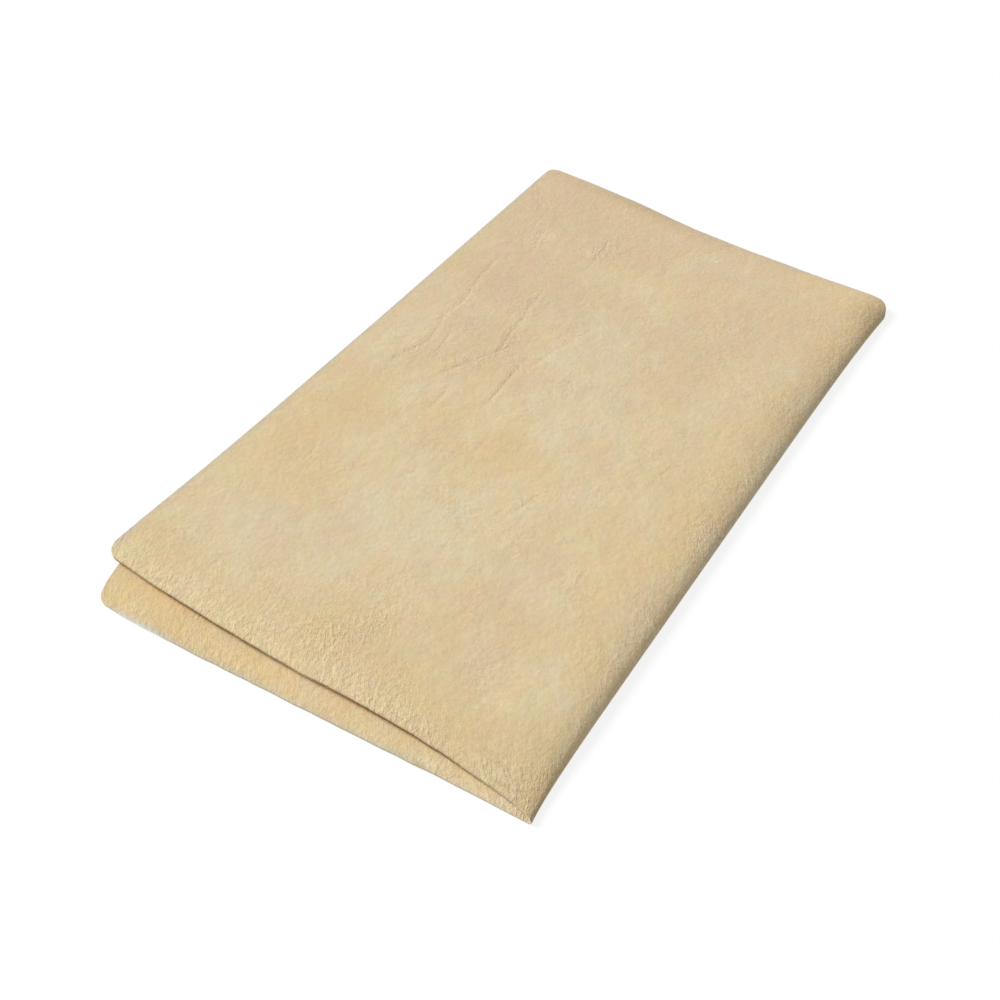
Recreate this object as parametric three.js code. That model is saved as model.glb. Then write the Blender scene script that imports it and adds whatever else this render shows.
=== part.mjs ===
// A chamois leather: one soft hide, cut to a rough rectangle and folded once.
// The lower leaf lies on the ground at Z = 0 and the upper leaf lies over it.
// The bend between them runs along Y at the right (+X) side, and the leaves are open at the left.
// Two creases split the bend, so that the hide can be opened flat: one joins the lower leaf to
// the spine of the fold, the other joins the spine to the upper leaf.
// Sizes are millimetres, +Z is up, and the origin is the middle of the footprint on the ground.

import * as THREE from "three";

const { degToRad, lerp, smoothstep } = THREE.MathUtils;

// Hide
const LEATHER_THICKNESS = 1.5;
const LEATHER_COLOUR = 0xd9c59e;
const LOWER_FACE_COLOUR = 0xe2c693;
const LEATHER_ROUGHNESS = 0.95;

// Fold
const FOLD_LENGTH = 396;
const FOLD_HEIGHT = 7;
const CREASE_ANGLE = degToRad(45);
const CREASE_CLEARANCE = 0.3;
const FACETS_PER_BEND = 4;

// Upper leaf: widths run from the crest of the fold to the open edge, and a lead is how far an
// open corner stands out past the end of the fold
const UPPER_WIDTH_FRONT = 250.5;
const UPPER_WIDTH_FAR = 245;
const UPPER_LEAD_FRONT = 4.6;
const UPPER_LEAD_FAR = 3;
const UPPER_CORNER_RADIUS = 9;
const FRONT_EDGE_WAVE = 2;
const LEAF_GAP = 1.6;
const SAG_LENGTH = 60;

// Lower leaf
const LOWER_WIDTH_FRONT = 234.5;
const LOWER_WIDTH_FAR = 241;
const LOWER_LEAD_FRONT = 25.5;
const LOWER_LEAD_FAR = 1;
const LOWER_CORNER_RADIUS = 5;

// Counts of facets
const FACETS_PER_CORNER = 4;
const FACETS_PER_SAG = 6;
const FACETS_PER_WAVE = 10;

// The bend is half a turn about a line above the ground, with the crest of the fold at X = 0
const OUTER_RADIUS = FOLD_HEIGHT / 2;
const INNER_RADIUS = OUTER_RADIUS - LEATHER_THICKNESS;
const BEND_X = -OUTER_RADIUS;
const HALF_CLEARANCE_ANGLE = CREASE_CLEARANCE / 2 / OUTER_RADIUS;
const QUARTER_TURN = Math.PI / 2;

// Even steps from one value to another, both included.
function steps(from, to, count) {
  return Array.from({ length: count + 1 }, (_, i) => lerp(from, to, i / count));
}

// A cut across a leaf from its front edge to its far edge, at one height all along.
function leafSection(front, far, outerZ) {
  const innerZ = outerZ > FOLD_HEIGHT / 2 ? outerZ - LEATHER_THICKNESS : outerZ + LEATHER_THICKNESS;
  return [
    new THREE.Vector3(front.x, front.y, outerZ),
    new THREE.Vector3(far.x, far.y, outerZ),
    new THREE.Vector3(far.x, far.y, innerZ),
    new THREE.Vector3(front.x, front.y, innerZ),
  ];
}

// A cut across the bend, at an angle about its centre line from the crest.
function bendSection(angle) {
  const at = (radius, y) =>
    new THREE.Vector3(
      BEND_X + radius * Math.cos(angle),
      y,
      OUTER_RADIUS + radius * Math.sin(angle),
    );
  return [
    at(OUTER_RADIUS, 0),
    at(OUTER_RADIUS, FOLD_LENGTH),
    at(INNER_RADIUS, FOLD_LENGTH),
    at(INNER_RADIUS, 0),
  ];
}

// Sections of a leaf from its open edge, with round corners, to the bend.
function leafSections(leaf) {
  const width = (leaf.widthFront + leaf.widthFar) / 2 + BEND_X;
  const openFront = new THREE.Vector2(-leaf.widthFront, -leaf.leadFront);
  const openFar = new THREE.Vector2(-leaf.widthFar, FOLD_LENGTH + leaf.leadFar);
  const bendFront = new THREE.Vector2(BEND_X, 0);
  const bendFar = new THREE.Vector2(BEND_X, FOLD_LENGTH);
  const corner = steps(0, QUARTER_TURN, FACETS_PER_CORNER).map((turn) => ({
    distance: leaf.cornerRadius * (1 - Math.cos(turn)),
    inset: leaf.cornerRadius * (1 - Math.sin(turn)),
  }));
  const rest = leaf.distances(width).map((distance) => ({ distance, inset: 0 }));
  return [...corner, ...rest].map(({ distance, inset }) => {
    const share = distance / width;
    const front = openFront.clone().lerp(bendFront, share);
    const far = openFar.clone().lerp(bendFar, share);
    const across = far.clone().sub(front).normalize();
    front.y += leaf.wave * Math.sin(2 * Math.PI * (1 - share));
    front.addScaledVector(across, inset);
    far.addScaledVector(across, -inset);
    return leafSection(front, far, leaf.outerZ(width - distance));
  });
}

// A zone of the hide: one closed body lofted through its sections.
function zoneGeometry(sections) {
  const corners = sections[0].length;
  const last = (sections.length - 1) * corners;
  const index = [0, 2, 1, 0, 3, 2, last, last + 1, last + 2, last, last + 2, last + 3];
  for (let base = 0; base < last; base += corners) {
    for (let corner = 0; corner < corners; corner++) {
      const a = base + corner;
      const b = base + ((corner + 1) % corners);
      index.push(a, b, b + corners, a, b + corners, a + corners);
    }
  }
  const geometry = new THREE.BufferGeometry().setFromPoints(sections.flat());
  geometry.setIndex(index);
  geometry.computeVertexNormals();
  return geometry;
}

// A named zone of the hide with its own leather material.
function zone(name, sections, color) {
  const material = new THREE.MeshStandardMaterial({
    color,
    roughness: LEATHER_ROUGHNESS,
    metalness: 0,
  });
  const mesh = new THREE.Mesh(zoneGeometry(sections), material);
  mesh.name = name;
  return mesh;
}

// The lower leaf is flat on the ground and curls up into the bend as far as the lower crease.
function lowerLeaf() {
  const sections = leafSections({
    widthFront: LOWER_WIDTH_FRONT,
    widthFar: LOWER_WIDTH_FAR,
    leadFront: LOWER_LEAD_FRONT,
    leadFar: LOWER_LEAD_FAR,
    cornerRadius: LOWER_CORNER_RADIUS,
    wave: 0,
    distances: (width) => [width],
    outerZ: () => 0,
  });
  const crease = -CREASE_ANGLE - HALF_CLEARANCE_ANGLE;
  const bend = steps(-QUARTER_TURN, crease, FACETS_PER_BEND).slice(1).map(bendSection);
  return zone("lower_leaf", [...sections, ...bend], LOWER_FACE_COLOUR);
}

// The spine is the rounded back of the fold, between the two creases.
function foldSpine() {
  const reach = CREASE_ANGLE - HALF_CLEARANCE_ANGLE;
  const sections = steps(-reach, reach, 2 * FACETS_PER_BEND).map(bendSection);
  return zone("fold_spine", sections, LEATHER_COLOUR);
}

// The upper leaf leaves the bend at its full height and sags until it lies just over the lower leaf.
function upperLeaf() {
  const restZ = 2 * LEATHER_THICKNESS + LEAF_GAP;
  const sections = leafSections({
    widthFront: UPPER_WIDTH_FRONT,
    widthFar: UPPER_WIDTH_FAR,
    leadFront: UPPER_LEAD_FRONT,
    leadFar: UPPER_LEAD_FAR,
    cornerRadius: UPPER_CORNER_RADIUS,
    wave: FRONT_EDGE_WAVE,
    distances: (width) => [
      ...steps(UPPER_CORNER_RADIUS, width - SAG_LENGTH, FACETS_PER_WAVE).slice(1),
      ...steps(width - SAG_LENGTH, width, FACETS_PER_SAG).slice(1),
    ],
    outerZ: (fromBend) => lerp(FOLD_HEIGHT, restZ, smoothstep(fromBend, 0, SAG_LENGTH)),
  });
  const crease = CREASE_ANGLE + HALF_CLEARANCE_ANGLE;
  const bend = steps(crease, QUARTER_TURN, FACETS_PER_BEND).slice(0, -1).map(bendSection);
  return zone("upper_leaf", [...bend, ...sections.reverse()], LEATHER_COLOUR);
}

const hide = new THREE.Group();
hide.add(lowerLeaf(), foldSpine(), upperLeaf());

// The middle of the footprint goes to the origin
const footprint = new THREE.Box3().setFromObject(hide);
const middle = footprint.getCenter(new THREE.Vector3());
hide.position.set(-middle.x, -middle.y, -footprint.min.z);

const chamois = new THREE.Group();
chamois.add(hide);

export default chamois;
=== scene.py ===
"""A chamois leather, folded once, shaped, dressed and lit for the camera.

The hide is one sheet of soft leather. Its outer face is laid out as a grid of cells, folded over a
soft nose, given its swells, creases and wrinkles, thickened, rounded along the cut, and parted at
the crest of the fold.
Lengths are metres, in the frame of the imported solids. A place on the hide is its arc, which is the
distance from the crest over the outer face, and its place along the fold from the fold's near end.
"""

from __future__ import annotations

import logging
import math
from dataclasses import dataclass, fields, replace
from enum import Enum, IntEnum

import bpy
import numpy as np
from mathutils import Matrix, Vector, noise

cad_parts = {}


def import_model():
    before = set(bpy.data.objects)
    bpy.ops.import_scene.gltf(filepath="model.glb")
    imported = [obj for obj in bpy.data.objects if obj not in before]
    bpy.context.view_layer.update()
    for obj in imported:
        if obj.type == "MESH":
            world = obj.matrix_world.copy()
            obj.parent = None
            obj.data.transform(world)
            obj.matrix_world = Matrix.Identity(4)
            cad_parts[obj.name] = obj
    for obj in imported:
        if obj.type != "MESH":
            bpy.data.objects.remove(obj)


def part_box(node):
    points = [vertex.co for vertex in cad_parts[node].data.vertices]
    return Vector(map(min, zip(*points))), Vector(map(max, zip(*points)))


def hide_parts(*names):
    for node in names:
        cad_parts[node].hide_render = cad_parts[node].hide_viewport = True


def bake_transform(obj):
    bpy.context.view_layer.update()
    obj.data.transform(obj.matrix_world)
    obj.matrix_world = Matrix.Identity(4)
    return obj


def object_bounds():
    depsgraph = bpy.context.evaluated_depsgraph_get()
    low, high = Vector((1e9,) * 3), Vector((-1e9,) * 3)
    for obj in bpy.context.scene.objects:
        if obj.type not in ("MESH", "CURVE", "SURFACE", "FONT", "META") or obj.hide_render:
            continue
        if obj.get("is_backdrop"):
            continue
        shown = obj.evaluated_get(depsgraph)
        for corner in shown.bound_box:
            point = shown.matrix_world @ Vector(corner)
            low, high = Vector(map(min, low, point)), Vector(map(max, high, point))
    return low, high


MM = 0.001
CREST_INSET = 1.2 * MM
# Tints mixed into each face's colour in this order; some of them carry painted light or painted shade.
TINTS = ("bloom_and_painted_light", "ochre", "blush_and_painted_shade", "painted_front_light", "grey_edge", "painted_shade", "bare_and_painted_light")
LOG = logging.getLogger("chamois")

Array = np.ndarray
Pair = tuple[float, float]
Knots = tuple[Pair, ...]
Triple = tuple[float, float, float]
Colour = Triple
Noise = Triple
Socket = bpy.types.NodeSocket
Items = bpy.types.bpy_prop_collection
Value = Socket | float | Colour


class Side(IntEnum):
    """Faces of the hide, in the order of its material slots."""

    OUTER = 0
    INNER = 1
    CUT = 2


class Half(Enum):
    """Halves of the hide on the two sides of the crest of the fold."""

    LOWER = "hide_lower"
    UPPER = "hide_upper"


def mm(*lengths: float) -> tuple[float, ...]:
    """Turns lengths from millimetres into metres."""
    return tuple(length * MM for length in lengths)


def knots(*pairs: Pair) -> Knots:
    """Turns knots from millimetres into metres."""
    return tuple(mm(*pair) for pair in pairs)


def smooth_step(values: Array, span: Pair) -> Array:
    """Eases from 0 to 1 between the two values of a span."""
    share = np.clip((values - span[0]) / (span[1] - span[0]), 0.0, 1.0)
    return share * share * (3.0 - 2.0 * share)


def smooth_curve(line: Knots, at: Array) -> Array:
    """Reads a smooth curve that runs through a few knots.

    Args:
        line: Pairs of position and value, in rising order of position.
        at: The positions to read.

    Returns:
        The value of the curve at each position.
    """
    x, y = np.array(line).T
    slope = np.gradient(y, x)
    cell = np.clip(np.searchsorted(x, at) - 1, 0, len(x) - 2)
    width = x[cell + 1] - x[cell]
    t = np.clip((at - x[cell]) / width, 0.0, 1.0)
    rise = smooth_step(t, (0.0, 1.0))
    leave = width * slope[cell] * t * (1.0 - t) ** 2
    arrive = width * slope[cell + 1] * t * t * (t - 1.0)
    return y[cell] + (y[cell + 1] - y[cell]) * rise + leave + arrive


def fade(distance: Array, reach: float) -> Array:
    """Fades from 1 towards 0 as a distance grows past a reach."""
    return np.exp(-distance / reach)


def bell(distance: Array, reach: float) -> Array:
    """Fades from 1 towards 0 on both sides, as a round bell."""
    return np.exp(-((distance / reach) ** 2))


def read_vectors(items: Items, name: str) -> Array:
    """Reads a vector of every item.

    Args:
        items: The vertices of a mesh, or the data of an attribute.
        name: The name of the vector.

    Returns:
        One row per item.
    """
    values = np.empty(len(items) * 3)
    items.foreach_get(name, values)
    return values.reshape(-1, 3)


def note(mesh: bpy.types.Mesh, name: str, values: Array) -> None:
    """Keeps a number or a vector at each vertex as an attribute."""
    kind, part = ("FLOAT", "value") if values.ndim == 1 else ("FLOAT_VECTOR", "vector")
    mesh.attributes.new(name, kind, "POINT").data.foreach_set(part, values.ravel())


def choose(mesh: bpy.types.Mesh, chosen: list[bool]) -> None:
    """Goes into edit mode with only some faces selected.

    Args:
        mesh: The mesh of the active object.
        chosen: Whether each face is selected.
    """
    bpy.ops.object.mode_set(mode="EDIT")
    bpy.ops.mesh.select_mode(type="FACE")
    bpy.ops.mesh.select_all(action="DESELECT")
    bpy.ops.object.mode_set(mode="OBJECT")
    mesh.polygons.foreach_set("select", chosen)
    bpy.ops.object.mode_set(mode="EDIT")


def downward(pitch: float, bearing: float) -> Vector:
    """Points down at an angle.

    Args:
        pitch: Degrees below the horizon.
        bearing: Degrees from +X towards +Y.

    Returns:
        The direction.
    """
    fall, turn = math.radians(pitch), math.radians(bearing)
    level = math.cos(fall)
    return Vector((level * math.cos(turn), level * math.sin(turn), -math.sin(fall)))


@dataclass(frozen=True)
class FoldPlace:
    """Where the solids put the crest and the ends of the fold."""

    crest_x: float
    near_y: float
    far_y: float

    @classmethod
    def from_solids(cls) -> FoldPlace:
        """Reads the place of the fold from the spine's box."""
        low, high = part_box("fold_spine")
        return cls(crest_x=high[0] - CREST_INSET, near_y=low[1], far_y=high[1])

    @property
    def length(self) -> float:
        """The length of the fold."""
        return self.far_y - self.near_y


@dataclass(frozen=True)
class FoldProfile:
    """The outer face of the hide in a cut across the fold.

    Below the crest it is a quarter round that lands on the ground. Above the crest it turns over
    quickly at first and then slowly, and lies down towards the open edge.
    """

    height: float = 8.0 * MM
    floor_radius: float = 2.3 * MM
    quick_share: float = 0.4
    quick_length: float = 2.0 * MM
    slow_length: float = 7.0 * MM
    open_height: float = 4.4 * MM
    open_distance: float = 250.0 * MM
    fine_step: float = 0.05 * MM

    def below(self, arc: Array) -> tuple[Array, Array, Array]:
        """Follows the outer face from the crest down to the ground.

        Args:
            arc: Distances along the face from the crest.

        Returns:
            The distance back from the crest, the height, and the tilt of the normal.
        """
        angle = np.minimum(arc / self.floor_radius, math.pi / 2.0)
        flat = np.maximum(arc - self.floor_radius * math.pi / 2.0, 0.0)
        back = self.floor_radius * (1.0 - np.cos(angle)) + flat
        return back, self.floor_radius * (1.0 - np.sin(angle)), -angle

    def above(self, arc: Array) -> tuple[Array, Array, Array]:
        """Follows the outer face from the crest up and over to the open edge.

        Args:
            arc: Distances along the face from the crest.

        Returns:
            The distance back from the crest, the height, and the tilt of the normal.
        """
        path = np.arange(0.0, float(arc.max()) + self.fine_step, self.fine_step)
        quick = self.quick_share * fade(path, self.quick_length)
        slow = (1.0 - self.quick_share) * fade(path, self.slow_length)
        steep = (quick + slow) * math.pi / 2.0
        back = np.concatenate(([0.0], np.cumsum(np.cos(steep[:-1])))) * self.fine_step
        rise = np.concatenate(([0.0], np.cumsum(np.sin(steep[:-1])))) * self.fine_step
        top = rise * (self.height - self.floor_radius) / rise[-1] + self.floor_radius
        top -= (self.height - self.open_height) * np.minimum(back / self.open_distance, 1.0)
        tilt = math.pi / 2.0 - steep
        return np.interp(arc, path, back), np.interp(arc, path, top), np.interp(arc, path, tilt)


@dataclass(frozen=True)
class Places:
    """Places on the hide. Below the crest of a whole hide, arcs are negative."""

    arc: Array
    along: Array


@dataclass(frozen=True)
class Ripple:
    """A smooth random field, with the size of its swells across the hide and along the fold."""

    height: float
    size: Pair
    seed: float

    def at(self, places: Places) -> Array:
        """Reads the field.

        Args:
            places: Where to read it.

        Returns:
            The field at each place, about minus to plus its height.
        """
        pairs = zip((places.arc / self.size[0]).ravel(), (places.along / self.size[1]).ravel())
        field = [noise.noise(Vector((a, b, self.seed))) for a, b in pairs]
        return self.height * np.array(field).reshape(places.arc.shape)

    def lifted(self, places: Places) -> Array:
        """Reads the field, lifted by its height so that it stays above 0."""
        return self.height + self.at(places)


@dataclass(frozen=True)
class Spots(Places):
    """Places on the hide, and how far they lie from its edges."""

    from_front: Array
    from_far: Array
    from_edge: Array


@dataclass(frozen=True)
class LeafCut:
    """The outline of one half of the hide, from the crest and the near end of the fold.

    The open edge has knots of place along the fold and distance from the crest. The front and far
    edges have knots of arc and place along the fold.
    """

    open: Knots
    corner_front: float
    corner_far: float
    front: Knots
    far: Knots
    cell: float
    ragged: float = 0.3 * MM
    ragged_size: Pair = (11.0 * MM, 1.0)
    ragged_span: Pair = mm(0, 20)
    front_seed: float = 51.3
    far_seed: float = 57.1

    @property
    def reach(self) -> float:
        """The greatest distance of the open edge from the crest."""
        return max(width for _, width in self.open)

    def edge(self, line: Knots, arc: Array, seed: float) -> Array:
        """Reads the front or far edge with its ragged cut, without the round corner."""
        rag = Ripple(self.ragged, self.ragged_size, seed).at(Places(arc, np.zeros_like(arc)))
        return smooth_curve(line, arc) + rag * smooth_step(arc, self.ragged_span)

    def inset(self, radius: float, arc: Array) -> Array:
        """Reads how far a round corner draws the edge in."""
        inside = np.clip(radius - (self.reach - arc), 0.0, radius)
        return radius - np.sqrt(np.maximum(radius * radius - inside * inside, 0.0))


@dataclass(frozen=True)
class Crease:
    """A soft crease in the upper leaf, which runs between two places.

    Its shoulders stand beside the valley, at a number of half widths. It fades in and out over
    shares of its length.
    """

    start: Pair
    end: Pair
    depth: float
    half_width: float = 1.5 * MM
    relief: float = 0.85
    shoulder: float = 0.4
    shoulder_place: float = 2.0
    fade_in: Pair = (-0.15, 0.3)
    fade_out: Pair = (0.7, 1.15)

    def path(self, places: Places) -> tuple[Array, Array, Array]:
        """Reads where places lie beside the crease, and how strong it is abreast of them.

        Args:
            places: The places.

        Returns:
            The signed distance aside, the distance ahead of the start, and the depth, which tapers
            to nothing at both ends.
        """
        run_arc, run_along = np.subtract(self.end, self.start)
        length = math.hypot(run_arc, run_along)
        over, past = places.arc - self.start[0], places.along - self.start[1]
        ahead = (over * run_arc + past * run_along) / length
        aside = (over * run_along - past * run_arc) / length
        taper = smooth_step(ahead / length, self.fade_in)
        taper = taper * (1.0 - smooth_step(ahead / length, self.fade_out))
        return aside, ahead, self.depth * taper

    def height(self, places: Places) -> Array:
        """Reads the crease as a height, negative in the valley and proud at its shoulders.

        Args:
            places: The places.

        Returns:
            The height at each place.
        """
        aside, _, depth = self.path(places)
        beside = np.abs(aside) - self.shoulder_place * self.half_width
        shoulder = self.shoulder * bell(beside, self.half_width)
        return self.relief * depth * (shoulder - bell(aside, self.half_width))


@dataclass(frozen=True)
class Patch:
    """A soft round patch on the hide, of colour, of grain or of lift."""

    arc: float
    along: float
    radius_arc: float
    radius_along: float
    strength: float

    def amount(self, places: Places) -> Array:
        """Reads the patch's strength at each place."""
        far = ((places.arc - self.arc) / self.radius_arc) ** 2
        return self.strength * np.exp(-far - ((places.along - self.along) / self.radius_along) ** 2)


Patches = tuple[Patch, ...]


def creases(*rows: tuple[float, ...]) -> tuple[Crease, ...]:
    """Makes creases from rows in millimetres: arc and place of the start, of the end, and depth."""
    return tuple(Crease(mm(*row[:2]), mm(*row[2:4]), row[4] * MM) for row in rows)


def patches(*rows: tuple[float, ...]) -> Patches:
    """Makes patches from rows: arc, place and two radii, all in millimetres, and strength."""
    return tuple(Patch(*mm(*row[:4]), row[4]) for row in rows)


def heap(parts: Patches, places: Places) -> Array:
    """Adds up patches at each place."""
    return sum(patch.amount(places) for patch in parts)


@dataclass(frozen=True)
class HideClouds:
    """Where the hide's colour changes, and where light and shade are painted into it.

    Pale, greasy and flushed tones are loose clouds of the hide's own colour. Some pale patches are
    painted light: one on the slope of the fold, and the patches without loose outlines on its crest.
    Some flushed patches are painted shade, darker over the far half and along the far edge. Patches
    of painted shade, without loose outlines, lie on the fold's nose near both ends and along it, and
    along the far edge; a thin line of it runs along the upper leaf's front edge, where the gap under
    it is in shade. Painted light lies in a band along the upper leaf's front edge, and a greyer,
    darker band along the open and far edges. On the lower half, by its front edge, lie a whitish cut
    at the corner and painted light on the cut faces at the tip of the fold. The random part of a
    cloud has layers, each with a share, a size and a step of the seed.
    """

    bloom_and_painted_light: Patches
    ochre: Patches
    blush_and_painted_shade: Patches
    # Painted light on the crest of the fold, added to the pale cloud.
    pale: Patches
    # How dark the painted shade line along the upper leaf's front edge is, from place to place.
    painted_shade: Patches
    # Painted shade on the fold's nose near both ends and along it, and along the far edge.
    stain: Patches
    bare_and_painted_light: Patches
    bloom_seed: float = 61.3
    ochre_seed: float = 67.9
    blush_seed: float = 73.1
    warp: float = 14.0 * MM
    warp_size: Pair = mm(45, 45)
    warp_step: float = 7.3
    layers: tuple[Triple, ...] = ((0.3, 60.0 * MM, 13.1), (0.4, 22.0 * MM, 17.7), (0.3, 7.0 * MM, 23.9))
    cloud_gain: float = 0.78
    cloud_base: float = 0.13
    # Painted light in a band along the upper leaf's front edge.
    painted_front_light: float = 0.8
    buff_span: Pair = mm(40, 100)
    buff_reach: float = 14.0 * MM
    # A thin line of painted shade along the upper leaf's front edge, where the gap under it is in shade.
    grime_base: float = 0.75
    grime_loose: Ripple = Ripple(0.3, mm(9, 40), 79.7)
    grime_span: Pair = mm(8, 50)
    grime_reach: float = 0.35 * MM
    # A greyer, darker band along the open and far edges.
    worn_base: float = 0.8
    worn_loose: Ripple = Ripple(0.5, mm(25, 25), 83.9)
    worn_span: Pair = mm(20, 60)
    worn_reach: float = 2.4 * MM
    # How far from the front edge the whitish cut and the painted light at the tip reach.
    bare_reach: float = 1.6 * MM

    def cloud(self, parts: Patches, places: Places, seed: float) -> Array:
        """Adds up the clouds of one kind, with ragged outlines and random ones between.

        Args:
            parts: The clouds.
            places: Where to read them.
            seed: A number that picks the random part.

        Returns:
            The amount of this colour, 0 to 1.
        """
        arc = places.arc + Ripple(self.warp, self.warp_size, seed).at(places)
        along = places.along + Ripple(self.warp, self.warp_size, seed + self.warp_step).at(places)
        amount = self.cloud_gain * heap(parts, Places(arc, along))
        for share, size, step in self.layers:
            amount = amount + Ripple(share, (size, size), seed + step).at(places)
        return np.clip(amount + self.cloud_base, 0.0, 1.0)

    def amounts(self, spots: Spots) -> dict[str, Array]:
        """Reads all colours at some places of the hide.

        Args:
            spots: The places.

        Returns:
            The amount of each colour, 0 to 1, by the name of its attribute.
        """
        front = np.maximum(spots.from_front, 0.0)
        # Painted light in a band along the upper leaf's front edge.
        painted_front_light = self.painted_front_light * smooth_step(spots.arc, self.buff_span) * bell(front, self.buff_reach)
        # A thin line of painted shade along the upper leaf's front edge, where the gap under it is in
        # shade; its patches set how dark it is from place to place.
        painted_shade = self.grime_base + heap(self.painted_shade, spots) + self.grime_loose.at(spots)
        painted_shade = painted_shade * smooth_step(spots.arc, self.grime_span) * fade(front, self.grime_reach)
        # A greyer, darker band along the open and far edges.
        grey_edge = self.worn_base + self.worn_loose.at(spots)
        grey_edge = grey_edge * smooth_step(np.abs(spots.arc), self.worn_span)
        # A whitish cut at the lower leaf's front corner, and painted light on the cut faces at the tip of
        # the fold.
        bare_and_painted_light = heap(self.bare_and_painted_light, Places(-spots.arc, spots.along))
        amounts = {
            # The pale cloud, with painted light added on the crest of the fold.
            "bloom_and_painted_light": self.cloud(self.bloom_and_painted_light, spots, self.bloom_seed) + heap(self.pale, spots),
            "ochre": self.cloud(self.ochre, spots, self.ochre_seed),
            # The flushed cloud, which also carries painted shade over the far half and along the far
            # edge.
            "blush_and_painted_shade": self.cloud(self.blush_and_painted_shade, spots, self.blush_seed),
            "painted_front_light": painted_front_light,
            "grey_edge": grey_edge * bell(spots.from_edge, self.worn_reach),
            # The painted shade line, with the painted shade patches on the fold's nose and along the far
            # edge.
            "painted_shade": painted_shade + heap(self.stain, spots),
            "bare_and_painted_light": bare_and_painted_light * fade(front, self.bare_reach),
        }
        return {name: np.clip(amount, 0.0, 1.0) for name, amount in amounts.items()}


@dataclass(frozen=True)
class HideRelief:
    """Swells, creases and wrinkles of the leaves.

    A reach is how far from its edge or line a form fades. A span of arcs is where a form sets in.
    """

    creases: tuple[Crease, ...]
    raised: Patches
    swell: Ripple = Ripple(0.3 * MM, mm(75, 75), 3.1)
    fine_swell: Ripple = Ripple(0.105 * MM, mm(28, 34), 5.7)
    wrinkle: Ripple = Ripple(0.26 * MM, mm(2.9, 11.6), 11.3)
    wrinkle_reach: float = 12.0 * MM
    crest_wrinkle: Ripple = Ripple(0.13 * MM, mm(2.6, 7), 29.3)
    crest_reach: float = 9.0 * MM
    slant: float = -0.45
    droop_far: float = 1.1 * MM
    droop_reach: float = 8.0 * MM
    roll_far: float = 0.9 * MM
    roll_reach: float = 2.5 * MM
    crest_span: Pair = mm(0.5, 4)
    leaf_span: Pair = mm(8, 45)
    crease_bend: Ripple = Ripple(3.0 * MM, mm(22, 22), 19.9)
    crease_reach: float = 5.0 * MM
    curl: Ripple = Ripple(0.25 * MM, mm(55, 90), 37.7)
    curl_base: float = 0.0625 * MM
    curl_reach: float = 7.0 * MM
    lower_wrinkle: Ripple = Ripple(0.078 * MM, mm(2.9, 8.7), 41.9)
    lower_swell: Ripple = Ripple(0.09 * MM, mm(60, 60), 43.3)
    lower_span: Pair = mm(6, 40)

    def upper(self, spots: Spots) -> Array:
        """Reads the relief of the upper leaf's outer face.

        Args:
            spots: Places on the upper half.

        Returns:
            The height of the relief along the outer normal.
        """
        swell = self.swell.at(spots) + self.fine_swell.at(spots)
        slanted = Places(spots.arc + self.slant * spots.along, spots.along)
        wrinkle = self.wrinkle.at(slanted) * fade(spots.from_front, self.wrinkle_reach)
        bent = self.bent(spots)
        crease = sum(one.height(bent) for one in self.creases)
        crest = self.crest_wrinkle.at(slanted) * fade(spots.arc, self.crest_reach)
        droop = self.droop_far * fade(spots.from_far, self.droop_reach)
        droop = droop + self.roll_far * fade(spots.from_far, self.roll_reach)
        leaf = smooth_step(spots.arc, self.leaf_span) * (swell + crease - droop)
        return smooth_step(spots.arc, self.crest_span) * (crest + leaf + wrinkle)

    def bent(self, places: Places) -> Places:
        """Moves places a little across the hide, so that straight creases wander."""
        return Places(places.arc + self.crease_bend.at(places), places.along)

    def nearest_crease(self, places: Places) -> Array:
        """Reads the crease that counts most at each place.

        Args:
            places: The places.

        Returns:
            The distance aside of it, the distance ahead of its start, and its depth, as vectors.
        """
        best = np.zeros_like(places.arc)
        found = np.zeros((*best.shape, 3))
        bent = self.bent(places)
        for crease in self.creases:
            reading = np.stack(crease.path(bent), axis=-1)
            weight = reading[..., 2] * bell(reading[..., 0], self.crease_reach)
            better = weight > best
            best[better] = weight[better]
            found[better] = reading[better]
        return found

    def lower(self, spots: Spots) -> Array:
        """Reads how far the lower leaf stands off the ground.

        Args:
            spots: Places on the lower half, with arcs counted as positive.

        Returns:
            The height of the lower leaf's outer face, never below the ground.
        """
        curl = np.clip(self.curl.at(spots) + self.curl_base, 0.0, self.curl.height)
        curl = (curl + heap(self.raised, spots)) * fade(spots.from_front, self.curl_reach)
        wrinkle = self.lower_wrinkle.lifted(spots) * fade(spots.from_front, self.wrinkle_reach)
        height = curl + wrinkle + self.lower_swell.lifted(spots)
        return height * smooth_step(spots.arc, self.lower_span)


@dataclass(frozen=True)
class Pebbling:
    """Where the grain of the hide stands out: by the front edge, the crest and the creases."""

    rough: Patches
    front: float = 0.8
    front_below: float = 0.7
    front_reach: float = 17.0 * MM
    front_power: float = 1.5
    crest_reach: float = 11.0 * MM
    crease: float = 0.7
    crease_reach: float = 4.0 * MM
    crease_depth: float = 0.2 * MM
    loose: Ripple = Ripple(0.5, mm(22, 22), 47.3)

    def amount(self, spots: Spots, crease: Array) -> Array:
        """Reads how strongly the grain stands out.

        Args:
            spots: The places.
            crease: The reading of the crease that counts most at each.

        Returns:
            The strength of the grain, 0 to 1.
        """
        front = self.front * np.exp(-((spots.from_front / self.front_reach) ** self.front_power))
        front = front * np.where(spots.arc < 0.0, self.front_below, 1.0)
        beside = bell(crease[..., 0], self.crease_reach) * crease[..., 2] / self.crease_depth
        grain = front + fade(np.abs(spots.arc), self.crest_reach) + heap(self.rough, spots)
        return np.clip(grain + self.crease * beside + self.loose.at(spots), 0.0, 1.0)


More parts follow.
